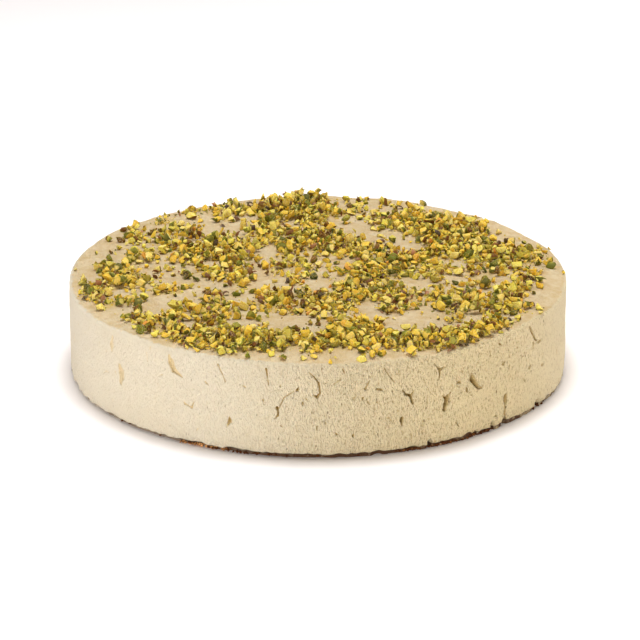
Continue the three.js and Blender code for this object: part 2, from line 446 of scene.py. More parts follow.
def unevenness(at, points):
    """How far the wall stands out in mm: shallow waves, sesame grain, and nicks along the rim."""
    grain = layered_noise(points * DRAWN_OUT, GRAIN)
    grain *= 0.5 + 0.9 * at.loosely
    nicked = smooth_step(RADIUS - 3, RADIUS - 0.5, at.radius) * smooth_step(HEIGHT - 5, HEIGHT - 1, at.z)
    grain += 0.5 * nicked * np.maximum(0, layered_noise(points, RIM_NICKS))
    return layered_noise(points, WAVES) + grain


def crumbling(at):
    """How far in mm the wall's lower edge and the foot have crumbled, in lumps and in chips."""
    crumble = 0.45 * at.low * (1 + at.lumpy)
    for middle, width, height, deep in CHIPS:
        aside = abs((at.angle - middle + 180) % 360 - 180) * math.radians(1) * RADIUS / (width / 2)
        up = np.maximum(at.z - GAP, 0) / height
        crumble += deep * np.clip(1 - aside**1.6 - up**1.6 + 0.25 * at.lumpy, 0, 1) ** 0.6
    under = at.low * (1 - at.wall) * smooth_step(RADIUS - 6, RADIUS - 4, at.radius)
    return crumble * at.wall + 0.5 * (1 + at.lumpy) * under


def top_rise(at, points, moved, mounds):
    """How far the top rises in mm: the solid's own rise and fall, soft mounds and a finer ripple.

    mounds is the height of the soft ones in mm, and moved is where the points are so far.
    """
    flat = points * (1, 1, 0)
    rise = mounds * (layered_noise(flat, MOUNDS) - 0.25)
    rise += 0.2 * lattice_noise(flat, 4.5, 9) + 0.14 * lattice_noise(flat * (0.4, 1, 1), 3.4, 16)
    rise -= 0.4 * smooth_step(RADIUS - 14, RADIUS - 1, at.radius)
    inner = np.minimum(1, (RADIUS - 5) / np.maximum(at.radius, 1e-6))
    top_height = cad_top()
    for i in np.nonzero(at.z > HEIGHT / 2)[0]:
        rise[i] += top_height(moved[i, 0] * inner[i], moved[i, 1] * inner[i]) - HEIGHT
    return rise * smooth_step(0.55 * HEIGHT, HEIGHT - 5, at.z)


def edge_rise(at):
    """How far in mm the wall's lower edge goes up and down, in lumps."""
    lumps = layered_noise(np.stack([at.along, 0 * at.z, 0 * at.z], 1), EDGE_LUMPS) - 0.1
    lumps = np.clip(lumps, 0, 1.5) * (0.25 + 0.6 * at.loosely)
    return (0.3 * at.lumpy + lumps) * at.low * smooth_step(0, 1.4, at.z)


def block_looks(at, creased, crumble):
    """What the block's material reads at each point, all from 0 to about 1."""
    # The foot is toasted brown and darkened with painted shade under the wall's edge, less so towards
    # the two ends.
    toasted_to = GAP + 0.6 + 0.5 * at.loosely * (1 + at.lumpy)
    lightly = 0.4 * smooth_step(0.6, 0.95, at.across) + 0.35 * smooth_step(-0.7, -0.95, at.across)
    toasted = 1 - smooth_step(GAP - 0.4, toasted_to, at.z) + np.clip(crumble / 4 - 0.3, 0, 1)
    on_top = 1 - smooth_step(RADIUS - 4.5, RADIUS + 0.5, at.radius)
    return {
        "crease": np.clip(creased / 3.0, 0, 1),
        "loosely": at.loosely,
        "golden": at.golden,
        "foot": toasted * (1 - lightly),
        "top": np.where(at.z > HEIGHT / 2, on_top, 0),
        # Nut dust, and painted warm light reflected from the nuts, where they lie thickly.
        "dust_and_glow": np.clip(nut_cover(at.x, at.y)[0], 0, 1),
    }


def shape_block(points, settings, creases):
    """Moves the cage's points to the pressed block's surface, and says what each point is like."""
    at = survey(points)
    creased = crease_field(at.along, at.z - GAP, creases)[0] * at.wall
    depth = creased * (0.3 + 0.7 * smooth_step(-0.75 * RADIUS, -0.15 * RADIUS, at.x))
    crumble = crumbling(at)
    set_back = 1.8 * (1 - at.loosely) * smooth_step(GAP - 0.1, GAP - 1.1, at.z) * at.wall
    inward = depth - at.wall * unevenness(at, points) + crumble + set_back
    outline = cad_outline()(at.angle) / RADIUS
    moved = points * np.stack([outline, outline, np.ones_like(outline)], 1)
    moved -= at.outward * inward[:, None]
    moved[:, 2] += top_rise(at, points, moved, settings.top_relief / MM)
    moved[:, 2] += edge_rise(at)
    return moved, block_looks(at, creased, crumble)


def block_mesh(settings):
    """The finished mesh of the halva block."""
    creases = crease_list()
    cage = block_cage(settings)
    refine_near_creases(cage, creases)
    for face in cage.faces:
        face.smooth = True
    for vert in cage.verts:
        vert.co *= MM
    mesh = finished_mesh(cage, "halva_block")
    points, looks = shape_block(read_points(mesh), settings, creases)
    write_points(mesh, points)
    for name, values in looks.items():
        write_values(mesh, name, values)
    final = bmesh.new()
    final.from_mesh(mesh)
    bmesh.ops.triangulate(final, faces=final.faces[:])
    final.to_mesh(mesh)
    final.free()
    return mesh


# ---- The halva block: looks -------------------------------------------------------------------

MIX = dict(kind="Mix", data_type="RGBA", output=2)  # a Mix node of two colours
MIX_A, MIX_B = 6, 7  # its inputs for the colours


def pressed_halva(settings):
    """Halva: sesame paste and beaten sugar, pressed in a mould.

    A matt, finely fibrous, cream-coloured mass with a little oil in it: light sinks in slightly,
    pores show as tan specks of painted shade drawn out upwards, and oil gathers yellow in creases
    and on the top. The grain's low parts get painted shade, the creases' yellow is partly painted
    warm reflected light, and a painted warm glow makes the wall more golden towards the right.
    """
    material, node = new_material("pressed_halva")
    place = node("TexCoord", output="Object")
    drawn = node("Mapping", {"Vector": place, "Scale": DRAWN_OUT})
    crease, foot, loosely, golden, top, dust_and_glow = (
        node("Attribute", attribute_name=name, output="Fac")
        for name in ("crease", "foot", "loosely", "golden", "top", "dust_and_glow")
    )
    torn, clouds, areas, scorch_and_shade = (
        node("TexNoise", {"Vector": place, "Scale": 1 / (size * MM), "Detail": 3.0})
        for size in (3, 40, 9, 6)
    )
    top = node("MapRange", (node("Math", (torn, top), operation="ADD"), 0.72, 1.05))

    # A fibrous grain about 1 mm across, more open where the mass is loose, with painted shade in
    # its low parts.
    grain = node(
        "TexNoise",
        {"Vector": drawn, "Scale": 1 / (0.9 * MM), "Detail": 2.0, "Roughness": 0.6, "Distortion": 0.4},
    )
    between = node("MapRange", (grain, 0.47, 0.30))
    open_grain = node("MapRange", (loosely, 0.3, 1.0, 0.12, 0.74))
    painted_grain_shade = node("Math", (between, open_grain), operation="MULTIPLY")

    # The top has drawn oil out of the nuts and is more tan, in patches up to 9 mm across, and is
    # yellow where they lie thickly, with their dust and with painted warm light reflected from them.
    patches = node("TexNoise", {"Vector": place, "Scale": 1 / (9 * MM), "Detail": 6.0, "Roughness": 0.7})
    top_colour = settings.top_tan
    for share, layer in (
        (node("MapRange", (patches, 0.35, 0.65)), settings.top_oily),
        (node("MapRange", (dust_and_glow, 0.15, 0.8, 0.0, 0.6)), settings.nut_dust_and_glow),
    ):
        top_colour = node(**MIX, inputs={0: share, MIX_A: top_colour, MIX_B: layer})

    # Pores of 0.3 to 1.2 mm, drawn out upwards, in some areas of the wall only, coloured with
    # painted shade.
    cells = node("TexVoronoi", {"Vector": drawn, "Scale": 1 / (2.4 * MM)})
    uneven = node("Math", (cells.node.outputs["Color"], 0.16, cells), operation="MULTIPLY_ADD")
    pores = node("MapRange", (uneven, 0.24, 0.16, 0.0, 0.9))
    for where in (
        node("MapRange", (areas, 0.42, 0.56)),
        node("MapRange", (loosely, 0.0, 1.0, 0.3)),
        node("Math", (1.0, top), operation="SUBTRACT"),
    ):
        pores = node("Math", (pores, where), operation="MULTIPLY")

    # Oil in the creases, partly painted warm light reflected inside them, painted shade in the
    # deepest parts of those on the loose side, and a toasted brown foot where the mass stood on the
    # hot tray, darkened further with painted shade under the wall's edge.
    most_oil_and_glow = node("MapRange", (loosely, 0.0, 0.35, 0.4, 0.9))
    oily = node("MapRange", (crease, 0.02, 0.4, 0.0, most_oil_and_glow))
    # Painted shade in the deepest parts of the creases.
    deepest = node("MapRange", (crease, 0.42, 1.0, 0.0, 0.95))
    open_crease = node("MapRange", (loosely, 0.1, 0.45))
    deepest = node("Math", (deepest, open_crease), operation="MULTIPLY")
    # The foot's brown: toasted, and painted shade under the wall's edge.
    scorch_and_shade = node("Math", (scorch_and_shade, foot), operation="MULTIPLY")
    most_scorch_and_shade = node("MapRange", (loosely, 0.0, 0.5, 0.66, 0.95))
    scorch_and_shade = node("MapRange", (scorch_and_shade, 0.15, 0.42, 0.0, most_scorch_and_shade))

    # Cream with warmer clouds about 40 mm across, a painted warm glow that makes it more golden
    # towards the right, and then each of the layers above.
    colour = settings.cream
    for share, layer in (
        (clouds, settings.warm_cream),
        (golden, settings.golden_cream),
        (painted_grain_shade, settings.grain_shade),
        (top, top_colour),
        (pores, settings.pore_shade),
        (oily, settings.crease_oil_and_glow),
        (deepest, settings.crease_shade),
        (scorch_and_shade, settings.toasted),
    ):
        colour = node(**MIX, inputs={0: share, MIX_A: colour, MIX_B: layer})

    # Relief in mm: the grain, coarser where the mass is loose, the pores, and soft crumbs on the top.
    relief = node("MapRange", (loosely, 0.0, 1.0, 1.2, 4.3))
    relief = node("MapRange", (top, 0.0, 1.0, relief, 2.4))
    height = node("Math", (grain, relief), operation="MULTIPLY")
    height = node("Math", (pores, -0.6, height), operation="MULTIPLY_ADD")
    crumbly = node("TexNoise", {"Vector": place, "Scale": 1 / (3.5 * MM), "Detail": 4.0, "Roughness": 0.6})
    crumbly = node("Math", (crumbly, 0.5), operation="SUBTRACT")
    crumbly = node("Math", (crumbly, top), operation="MULTIPLY")
    height = node("Math", (crumbly, 2.2, height), operation="MULTIPLY_ADD")
    shader = node(
        "BsdfPrincipled",
        {
            "Base Color": colour,
            "Roughness": 0.68,
            "IOR": 1.45,
            "Specular IOR Level": 0.3,
            "Subsurface Weight": 0.1,
            "Subsurface Radius": (1.0, 0.6, 0.3),
            "Subsurface Scale": 1.5 * MM,
            "Normal": node("Bump", {"Strength": 1.0, "Distance": 1.0 * MM, "Height": height}),
        },
    )
    node("OutputMaterial", {"Surface": shader})
    return material


# ---- The chopped pistachios: where they lie ---------------------------------------------------

# Places on the top that have few or no nuts: centre, half length, half width in mm, and the
# turn of the long side in degrees.
BARE_PATCHES = (
    (-140, 36, 20, 9, 90), (-131, 16, 13, 13, 0), (-140, -4, 20, 9, 90), (-88, -1, 19, 8, 90),
    (-64, 14, 12, 7, 0), (-69, -24, 18, 8, -25), (-28, -18, 11, 13, 0), (12, 2, 26, 12, 90),
    (-6, 27, 12, 8, 0), (-14, 88, 12, 7, 90), (22, 82, 22, 10, 115), (42, 66, 9, 10, 0),
    (56, 54, 10, 14, 0), (33, 130, 20, 8, 100), (53, 124, 18, 8, 65), (90, 110, 48, 10, -45),
    (124, 64, 24, 14, -60), (138, -38, 34, 12, 82), (142, 6, 30, 8, 90), (86, -12, 7, 12, 0),
    (112, -14, 8, 9, 0), (127, -82, 13, 8, 60), (62, -82, 20, 13, 70), (45, -92, 10, 10, 0),
    (-10, -90, 18, 14, 8), (-45, -88, 8, 11, 0), (-92, -66, 14, 8, 100), (-112, -66, 9, 9, 0),
    (-134, -62, 22, 9, -60), (-112, -36, 9, 8, 0), (-110, -98, 34, 9, -48), (-84, -126, 20, 8, -35),
    (-102, -41, 7, 9, 0), (-64, 84, 15, 8, 90), (-46, 92, 11, 8, 60), (-96, 112, 30, 7, 45),
    (-46, 143, 22, 6, 15), (0, -146, 60, 9, 0), (19, -138, 8, 8, 0), (104, -112, 18, 8, 45),
    (147, 18, 24, 5, 90),
)
# Places where they lie two and three deep, in the same form, with how much more there is.
HEAPS = (
    (-16, 118, 26, 20, 90, 0.8), (-116, -20, 30, 14, -70, 0.4), (-62, -114, 40, 12, -20, 0.7),
    (20, -116, 60, 13, 0, 0.8), (84, -112, 26, 11, 25, 0.8), (84, 60, 32, 18, 60, 0.7),
    (118, 26, 30, 14, 0, 0.6), (94, -56, 26, 14, 0, 0.4), (-98, 62, 18, 12, 40, 0.3),
    (-70, 32, 26, 16, -20, 0.5), (-12, 62, 26, 18, 0, 0.4), (46, 6, 30, 18, 20, 0.4),
)
# Nuts that lie alone: x and y in mm, and the kind of bit.
LONE_BITS = (
    (74, -127, "skins"), (76, -126, "skins"), (83, -122, "skins"), (84, -121, "skins"),
    (95, -101, "skins"), (97, -100, "skins"), (98, -73, "skins"), (-40, -145, "skins"),
    (-81, -114, "skins"), (-74, -122, "skins"), (141, 46, "chunks"), (143, 43, "chunks"),
    (142, 9, "chunks"), (148.5, 1, "chunks"), (149, -12, "skins"), (124, -57, "skins"),
    (121, -56, "chunks"), (131, -67, "grits"), (-40, -141, "chunks"), (-19, -143, "chunks"),
    (-27, -141, "grits"), (40, 125, "chunks"), (113, 72, "chunks"), (57, 56, "grits"),
    (-128, 32, "chunks"), (-133, 2, "chunks"), (-131, 8, "grits"), (-146, 24, "grits"),
    (27, -139, "chunks"), (65, -137, "chunks"), (11, -141, "grits"), (69, 131, "chunks"),
)
STACK = 1.4  # mm, how high a bit may lie on others
HEAP_STACK = 3.2  # mm, how much higher in a heap, times how much more there is
LONE_STACK = 3.0  # mm, the same for those that are placed one by one
BARE_RIM = (9, 2.5)  # mm in from the wall, between which the nuts thin out to none
STREWING_STEP = 1.5  # mm between the places at which bits are dropped


def in_ovals(x, y, ovals):
    """How deep each point is in the ovals, from 0 at an edge to 1 well inside, for each oval."""
    for centre_x, centre_y, long, wide, turn, *more in ovals:
        a = math.radians(turn)
        u = ((x - centre_x) * math.cos(a) + (y - centre_y) * math.sin(a)) / long
        v = (-(x - centre_x) * math.sin(a) + (y - centre_y) * math.cos(a)) / wide
        yield np.clip(1.35 - np.hypot(u, v), 0, 0.5) / 0.5, (more or [1.0])[0]


def nut_cover(x, y):
    """How thickly the nuts were strewn at each point, and how high in mm they may lie on others."""
    points = np.stack([x, y, 0 * x], 1)
    clumps = layered_noise(points, ((0.5, 15, 21), (0.5, 7, 22)))
    cover = np.clip(0.5 + 1.5 * clumps, 0.05, None)
    stack = np.full(len(x), STACK)
    for depth, more in in_ovals(x, y, HEAPS):
        cover += 0.9 * more * depth
        stack += HEAP_STACK * more * depth
    for depth, more in in_ovals(x + 4 * clumps, y - 3 * clumps, BARE_PATCHES):
        cover *= 1 - 0.9 * more * smooth_step(0, 1, depth)
    thinned, none = (RADIUS - inset for inset in BARE_RIM)
    return cover * (1 - smooth_step(thinned, none, np.hypot(x, y))), stack


ROLL = 1.2  # mm, how far a bit rolls from where it is dropped
HIGHEST = 70.5  # mm above the ground: no bit comes to lie higher than this


class Bed:
    """The heights of what lies on the top so far, in a square net of cells, all in mm."""

    def __init__(self, block, cell=0.5):
        self.cell = cell
        self.half = RADIUS + 6
        count = int(2 * self.half / cell)
        self.heights = np.full((count, count), -1e3)
        points = read_points(block.data)
        tree = BVHTree.FromPolygons([Vector(p) for p in points], [p.vertices for p in block.data.polygons])
        coarse = 4  # the block's own surface is smooth enough to be read at every fourth cell
        for i in range(0, count, coarse):
            for j in range(0, count, coarse):
                x, y = (i + coarse / 2) * cell - self.half, (j + coarse / 2) * cell - self.half
                if math.hypot(x, y) > RADIUS + 2:
                    continue
                hit = tree.ray_cast(Vector((x, y, 2 * HEIGHT)), Vector((0, 0, -1)))[0]
                if hit and hit.z > HEIGHT / 2:
                    self.heights[i : i + coarse, j : j + coarse] = hit.z
        self.ground = self.heights.copy()

    def cells(self, points):
        """The rows and columns of the cells that these points are in."""
        index = ((points[:, :2] + self.half) / self.cell).astype(int)
        return np.clip(index, 0, len(self.heights) - 1).T

    def rest_height(self, points):
        """How far up a bit whose points these are must go to lie on what is below it."""
        i, j = self.cells(points)
        return np.max(self.heights[i, j] - points[:, 2])

    def ground_height(self, points):
        """The same for the bare block."""
        i, j = self.cells(points)
        return np.max(self.ground[i, j] - points[:, 2])

    def cover_with(self, points):
        """Adds a bit that lies still."""
        i, j = self.cells(points)
        np.maximum.at(self.heights, (i, j), points[:, 2])

    def holds(self, points):
        """Whether the block is under most of a bit, so that it doesn't topple over the rim."""
        i, j = self.cells(points)
        return np.mean(self.ground[i, j] > HEIGHT / 2) > 0.85


# ---- The chopped pistachios: their shapes -----------------------------------------------------

KERNEL_AXES = Vector((7.4, 3.6, 3.3))  # mm, half the length, width and thickness of a kernel


def cut_off(bit, point, direction):
    """Cuts a bit by a plane, keeps the side that the direction points away from and closes it."""
    geom = bit.verts[:] + bit.edges[:] + bit.faces[:]
    plane = dict(plane_co=point, plane_no=direction, clear_outer=True)
    cut = bmesh.ops.bisect_plane(bit, geom=geom, dist=1e-5, **plane)
    rim = [g for g in cut["geom_cut"] if isinstance(g, bmesh.types.BMEdge)]
    if rim:
        bmesh.ops.holes_fill(bit, edges=rim, sides=0)


def tilted(rng, direction, degrees):
    """A direction turned away from itself by a random angle of about that size."""
    turn = Euler([math.radians(rng.normal(0, degrees)) for _ in range(3)])
    return turn.to_matrix() @ Vector(direction)


def cut_kernel(rng, kind):
    """A kernel cut by two end planes and some side planes, as a bmesh in mm, and its half axes."""
    bit = bmesh.new()
    bmesh.ops.create_icosphere(bit, subdivisions=2, radius=1.0)
    axes = KERNEL_AXES * rng.uniform(0.85, 1.1)
    for vert in bit.verts:
        ripple = 1 + rng.uniform(-0.04, 0.04)
        vert.co = Vector([c * a * ripple for c, a in zip(vert.co, axes)])
    where = rng.uniform(-0.6, 0.6) * axes.x
    thick = rng.uniform(*kind["thick"]) / 2
    cut_off(bit, Vector((where + thick, 0, 0)), tilted(rng, (1, 0, 0), kind["skew"]))
    cut_off(bit, Vector((where - thick, 0, 0)), tilted(rng, (-1, 0, 0), kind["skew"]))
    for _ in range(rng.integers(*kind["sides"])):
        around = rng.uniform(0, 2 * math.pi)
        way = Vector((0, math.cos(around), math.sin(around)))
        reach = rng.uniform(*kind["side_at"]) * axes.y
        cut_off(bit, Vector((where, 0, 0)) + way * reach, tilted(rng, way, kind["skew"]))
    return bit, axes


def kernel_bit(rng, kind):
    """One cut bit of a kernel as a mesh, in mm, with each point's place in the whole kernel."""
    while True:
        bit, axes = cut_kernel(rng, kind)
        if len(bit.faces) >= 6 and max(np.ptp([v.co for v in bit.verts], axis=0)) < kind["longest"]:
            break
        bit.free()
    for vert in bit.verts:  # the cut is crumbly, not a clean plane
        vert.co += Vector(rng.normal(0, kind["rough"], 3))
    place = bit.verts.layers.float_vector.new("kernel")
    for vert in bit.verts:
        vert[place] = Vector([c / a for c, a in zip(vert.co, axes)])
    sharp = [e for e in bit.edges if e.is_manifold and e.calc_face_angle(0) > math.radians(40)]
    rounding = dict(offset=kind["bevel"], offset_type="OFFSET", segments=1, profile=0.5)
    bmesh.ops.bevel(bit, geom=sharp, affect="EDGES", material=-1, **rounding)
    bmesh.ops.remove_doubles(bit, verts=bit.verts[:], dist=kind["weld"])
    middle = sum((v.co for v in bit.verts), Vector()) / len(bit.verts)
    bmesh.ops.translate(bit, vec=-middle, verts=bit.verts[:])
    return bit_mesh(bit, 50)


def bit_mesh(bit, sharp_angle):
    """Turns a bmesh into a mesh whose edges are sharp where they turn by more than the angle."""
    bmesh.ops.triangulate(bit, faces=bit.faces[:])
    for face in bit.faces:
        face.smooth = True
    mesh = finished_mesh(bit, "bit")
    mesh.set_sharp_from_angle(angle=math.radians(sharp_angle))
    return mesh


def skin_flake(rng, kind):
    """A flake of the papery skin that has come off a kernel, thin and curled."""
    flake = bmesh.new()
    size = rng.uniform(*kind["thick"])
    bmesh.ops.create_grid(flake, x_segments=4, y_segments=3, size=size / 2)
    curl = rng.uniform(1.6, 3.4)
    for vert in flake.verts:
        ragged = 1 + rng.uniform(-0.2, 0.2)
        x, y = vert.co.x * ragged, vert.co.y * rng.uniform(0.55, 0.75)
        vert.co = Vector((x, y, -(x * x) / (2 * curl) - y * y / 3.2 + rng.uniform(-0.1, 0.1)))
    bmesh.ops.solidify(flake, geom=flake.faces[:], thickness=0.25)
    bmesh.ops.recalc_face_normals(flake, faces=flake.faces[:])
    place = flake.verts.layers.float_vector.new("kernel")
    for vert in flake.verts:
        vert[place] = Vector((0, 0, 1.05))
    return bit_mesh(flake, 40)


def meal_grain(rng, kind):
    """A grain of the meal that chopping leaves."""
    grain = bmesh.new()
    bmesh.ops.create_icosphere(grain, subdivisions=1, radius=1.0)
    axes = [rng.uniform(*kind["thick"]) / 2 for _ in range(3)]
    place = grain.verts.layers.float_vector.new("kernel")
    depth = rng.uniform(0, 1.1)
    for vert in grain.verts:
        ragged = rng.uniform(0.75, 1.15)
        vert.co = Vector([c * a * ragged for c, a in zip(vert.co, axes)])
        vert[place] = Vector((0, 0, depth))
    return bit_mesh(grain, 35)


# Each kind of bit: what makes one, how many different ones are cut, its thickness and length in mm,
# by how many degrees its cuts are skewed, how many planes cut its sides and where, as a share of
# the kernel's half width, how rough, rounded and coarse it is, how far it sinks in, all in mm, and
# how often it is tumbled.
KINDS = {
    "chunks": dict(
        make=kernel_bit, cuts=80, thick=(1.8, 4.0), skew=18, sides=(2, 5), side_at=(-0.1, 0.7),
        longest=6.2, rough=0.16, bevel=0.25, weld=0.32, sink=0.3, tumbles=8,
    ),
    "slices": dict(
        make=kernel_bit, cuts=24, thick=(1.1, 1.7), skew=8, sides=(1, 4), side_at=(0.1, 0.7),
        longest=7.0, rough=0.08, bevel=0.2, weld=0.3, sink=0.2, tumbles=6,
    ),
    "grits": dict(
        make=kernel_bit, cuts=60, thick=(0.9, 2.2), skew=20, sides=(2, 4), side_at=(-0.2, 0.4),
        longest=3.8, rough=0.08, bevel=0.12, weld=0.32, sink=0.2, tumbles=6,
    ),
    "skins": dict(make=skin_flake, cuts=16, thick=(2.2, 4.6), sink=0.1, tumbles=5),
    "meal": dict(make=meal_grain, cuts=30, thick=(0.5, 1.3), sink=0.15, tumbles=3),
}


def sample_points(mesh):
    """A mesh's corners, edge middles and face middles, in mm, one row each."""
    points = np.array([v.co for v in mesh.vertices])
    ends = np.array([e.vertices for e in mesh.edges])
    faces = np.array([p.center for p in mesh.polygons])
    return np.concatenate([points, points[ends].mean(1), faces])


def random_turn(rng):
    """A random turn that favours none, as a 3 by 3 array."""
    turn = np.linalg.qr(rng.normal(0, 1, (3, 3)))[0]
    if np.linalg.det(turn) < 0:
        turn[:, 0] *= -1
    return turn


def dropped_bit(rng, bed, points, at, kind):
    """Tumbles a bit near a place until it lies low. Gives how high it lies, its turn and place."""
    best = None
    for _ in range(kind["tumbles"]):
        turn = random_turn(rng)
        place = np.array([*(np.array(at) + rng.normal(0, ROLL, 2)), 0])
        moved = points @ turn.T + place
        up = bed.rest_height(moved)
        if best is None or up < best[0]:
            best = (up, turn, place, moved)
    return best


@functools.cache
def strewn_bits(block_name, counts, seed):
    """Drops all bits on the block in a random order. Gives each kind's shapes and their places."""
    rng = np.random.default_rng(seed)
    bed = Bed(bpy.data.objects[block_name])
    shapes = {name: [kind["make"](rng, kind) for _ in range(kind["cuts"])] for name, kind in KINDS.items()}
    samples = {name: [sample_points(mesh) for mesh in made] for name, made in shapes.items()}
    net = np.arange(-RADIUS, RADIUS, STREWING_STEP)
    x, y = (a.ravel() for a in np.meshgrid(net, net))
    cover, stack = nut_cover(x, y)
    order = [name for name, count in counts for _ in range(count)]
    rng.shuffle(order)
    spots = rng.choice(len(x), len(order), p=cover / cover.sum())
    near = (-STREWING_STEP / 2, STREWING_STEP / 2)
    wanted = [
        (x[spot] + rng.uniform(*near), y[spot] + rng.uniform(*near), name, stack[spot])
        for spot, name in zip(spots, order)
    ]
    lone = [(*bit, LONE_STACK) for bit in LONE_BITS]
    placed = {name: [] for name in KINDS}
    for at_x, at_y, name, most in lone + wanted:
        shape = rng.integers(len(shapes[name]))
        scale = rng.uniform(0.75, 1.15)
        points = samples[name][shape] * scale
        up, turn, place, moved = dropped_bit(rng, bed, points, (at_x, at_y), KINDS[name])
        too_high = up - bed.ground_height(moved) > most or up + moved[:, 2].max() > HIGHEST
        if too_high or not bed.holds(moved):
            continue
        up -= KINDS[name]["sink"]
        moved[:, 2] += up
        bed.cover_with(moved)
        matrix = Matrix((turn * scale).tolist()).to_4x4()
        matrix.translation = Vector((place[0], place[1], up))
        placed[name].append((shape, matrix))
    return shapes, placed


def joined_bits(name, shapes, placed, seed):
    """One mesh of all the bits of a kind, with a tone and a brownness for each that colours follow."""
    rng = np.random.default_rng(seed)
    whole = bmesh.new()
    to_metres = Matrix.Scale(MM, 4)
    tones, browns = [], []
    for shape, matrix in placed:
        copy = shapes[shape].copy()
        copy.transform(to_metres @ matrix)
        whole.from_mesh(copy)
        tones.append(np.full(len(copy.vertices), rng.random()))
        browns.append(np.full(len(copy.vertices), rng.random()))
        bpy.data.meshes.remove(copy)
    mesh = finished_mesh(whole, name)
    write_values(mesh, "tone", np.concatenate(tones))
    write_values(mesh, "brown", np.concatenate(browns))
    return mesh


# ---- The chopped pistachios: looks ------------------------------------------------------------


def pistachio_flesh(settings):
    """Pistachio kernel, chopped: waxy, yellow inside and green towards the skin.

    Cut faces are a soft matt yellow that glows a little, and each bit's outer face is olive to
    dark green, with torn rests of a purple-brown skin about 2 mm across.
    """
    material, node = new_material("chopped_pistachio")
    place = node("TexCoord", output="Object")
    tone, brown = (node("Attribute", attribute_name=name, output="Fac") for name in ("tone", "brown"))
    kernel = node("Attribute", attribute_name="kernel", output="Vector")
    reach = node("VectorMath", (kernel,), operation="LENGTH", output="Value")
    fine, dust, torn = (
        node("TexNoise", {"Vector": place, "Scale": 1 / (size * MM), "Detail": detail})
        for size, detail in ((1.0, 3.0), (0.8, 2.0), (2.2, 3.0))
    )
    colour = node(
        "ValToRGB",
        (tone,),
        stops=(
            (0.0, settings.orange),
            (0.025, settings.gold),
            (0.32, settings.yellow),
            (0.56, settings.pale),
            (0.76, settings.lime),
            (0.915, settings.green),
            (0.94, settings.skin_green),
            (0.962, settings.skin_dark_green),
            (0.982, settings.skin_purple),
            (1.0, settings.skin_dark),
        ),
    )
    greens = ((0.0, settings.skin_dark_green), (0.45, settings.skin_green), (1.0, settings.skin_olive))
    rests = node("MapRange", (node("Math", (torn, brown), operation="ADD"), 1.05, 1.2, 0.0, 0.95))
    at_surface = node("MapRange", (reach, 0.90, 0.96))

    # Over the flesh: painted shade in the low parts of the crumbly cut faces, pale crumbs about
    # 0.8 mm across that cling to the cut faces, green towards the skin, and rests of the skin on the
    # outer face.
    for share, layer in (
        (node("MapRange", (fine, 0.52, 0.34, 0.0, 0.55)), settings.flesh_shade),
        (node("MapRange", (dust, 0.55, 0.70, 0.0, 0.4)), settings.pale_crumb),
        (
            node("MapRange", (reach, 0.82, 0.95, 0.0, 0.9), interpolation_type="SMOOTHSTEP"),
            node("ValToRGB", (brown,), stops=greens),
        ),
        (node("Math", (rests, at_surface), operation="MULTIPLY"), settings.skin_purple),
    ):
        colour = node(**MIX, inputs={0: share, MIX_A: colour, MIX_B: layer})
    shader = node(
        "BsdfPrincipled",
        {
            "Base Color": colour,
            "Roughness": 0.5,
            "IOR": 1.47,
            "Specular IOR Level": 0.15,
            "Subsurface Weight": 0.65,
            "Subsurface Radius": (1.0, 0.85, 0.25),
            "Subsurface Scale": 1.1 * MM,
            "Normal": node("Bump", {"Strength": 1.0, "Distance": 0.6 * MM, "Height": fine}),
        },
    )
    node("OutputMaterial", {"Surface": shader})
    return material


def pistachio_skin(settings):
    """Pistachio skin, peeled: papery, purple-brown with paler veins, and a faint waxy shine."""
    material, node = new_material("pistachio_skin")
    place = node("TexCoord", output="Object")
    tone = node("Attribute", attribute_name="tone", output="Fac")
    purples = ((0.0, settings.skin_dark), (0.5, settings.skin_purple), (1.0, settings.skin_rose))
    colour = node("ValToRGB", (tone,), stops=purples)
    veins = node("TexNoise", {"Vector": place, "Scale": 1 / (0.9 * MM), "Detail": 4.0})
    pale = node("MapRange", (veins, 0.5, 0.75, 0.0, 0.5))
    colour = node(**MIX, inputs={0: pale, MIX_A: colour, MIX_B: settings.skin_olive})
    bump = node("Bump", {"Strength": 0.6, "Distance": 0.2 * MM, "Height": veins})
    shader = {"Base Color": colour, "Roughness": 0.55, "IOR": 1.45, "Normal": bump}
    node("OutputMaterial", {"Surface": node("BsdfPrincipled", shader)})
    return material


# ---- Crumbs under the wall's edge --------------------------------------------------------------

# Where crumbs have gathered: the arc's ends in degrees from +X, and how many.
CRUMB_ARCS = (
    (238, 248, 70), (248, 262, 34), (205, 238, 3), (262, 326, 10), (289, 303, 60), (304, 313, 30),
    (328, 333, 10), (-12, 192, 50),
)
PALE_CRUMBS = (243, 6)  # degrees: where the crumbs are only lightly toasted, and how wide that is
CRUMB_SHAPES = 24
CRUMB_SIZES = (0.7, 2.4)  # mm across


def crumb_mesh(seed):
    """Crumbs that lie under the wall's edge or cling to it, each with a tone for its colour."""
    rng = np.random.default_rng(seed)
    shapes = [meal_grain(rng, dict(thick=CRUMB_SIZES)) for _ in range(CRUMB_SHAPES)]
    outline = cad_outline()
    placed = []
    for start, end, count in CRUMB_ARCS:
        for _ in range(count):
            angle = rng.uniform(start, end)
            radius = outline(angle % 360) - rng.triangular(0.4, 1.4, 3.0)
            a = math.radians(angle)
            turn = Matrix(random_turn(rng).tolist()).to_4x4()
            matrix = Matrix.Translation((radius * math.cos(a), radius * math.sin(a), 0)) @ turn
            shape = rng.integers(CRUMB_SHAPES)
            lowest = min((matrix @ v.co).z for v in shapes[shape].vertices)
            rise = -lowest + (rng.uniform(0, 0.9) if rng.random() < 0.5 else 0)
            placed.append((shape, Matrix.Translation((0, 0, rise)) @ matrix))
    mesh = joined_bits("halva_crumbs", shapes, placed, seed)
    x, y, _ = read_points(mesh).T
    angle = np.degrees(np.arctan2(y, x)) % 360
    middle, width = PALE_CRUMBS
    write_values(mesh, "pale", 0.9 * np.exp(-(((angle - middle) / width) ** 4)))
    return mesh


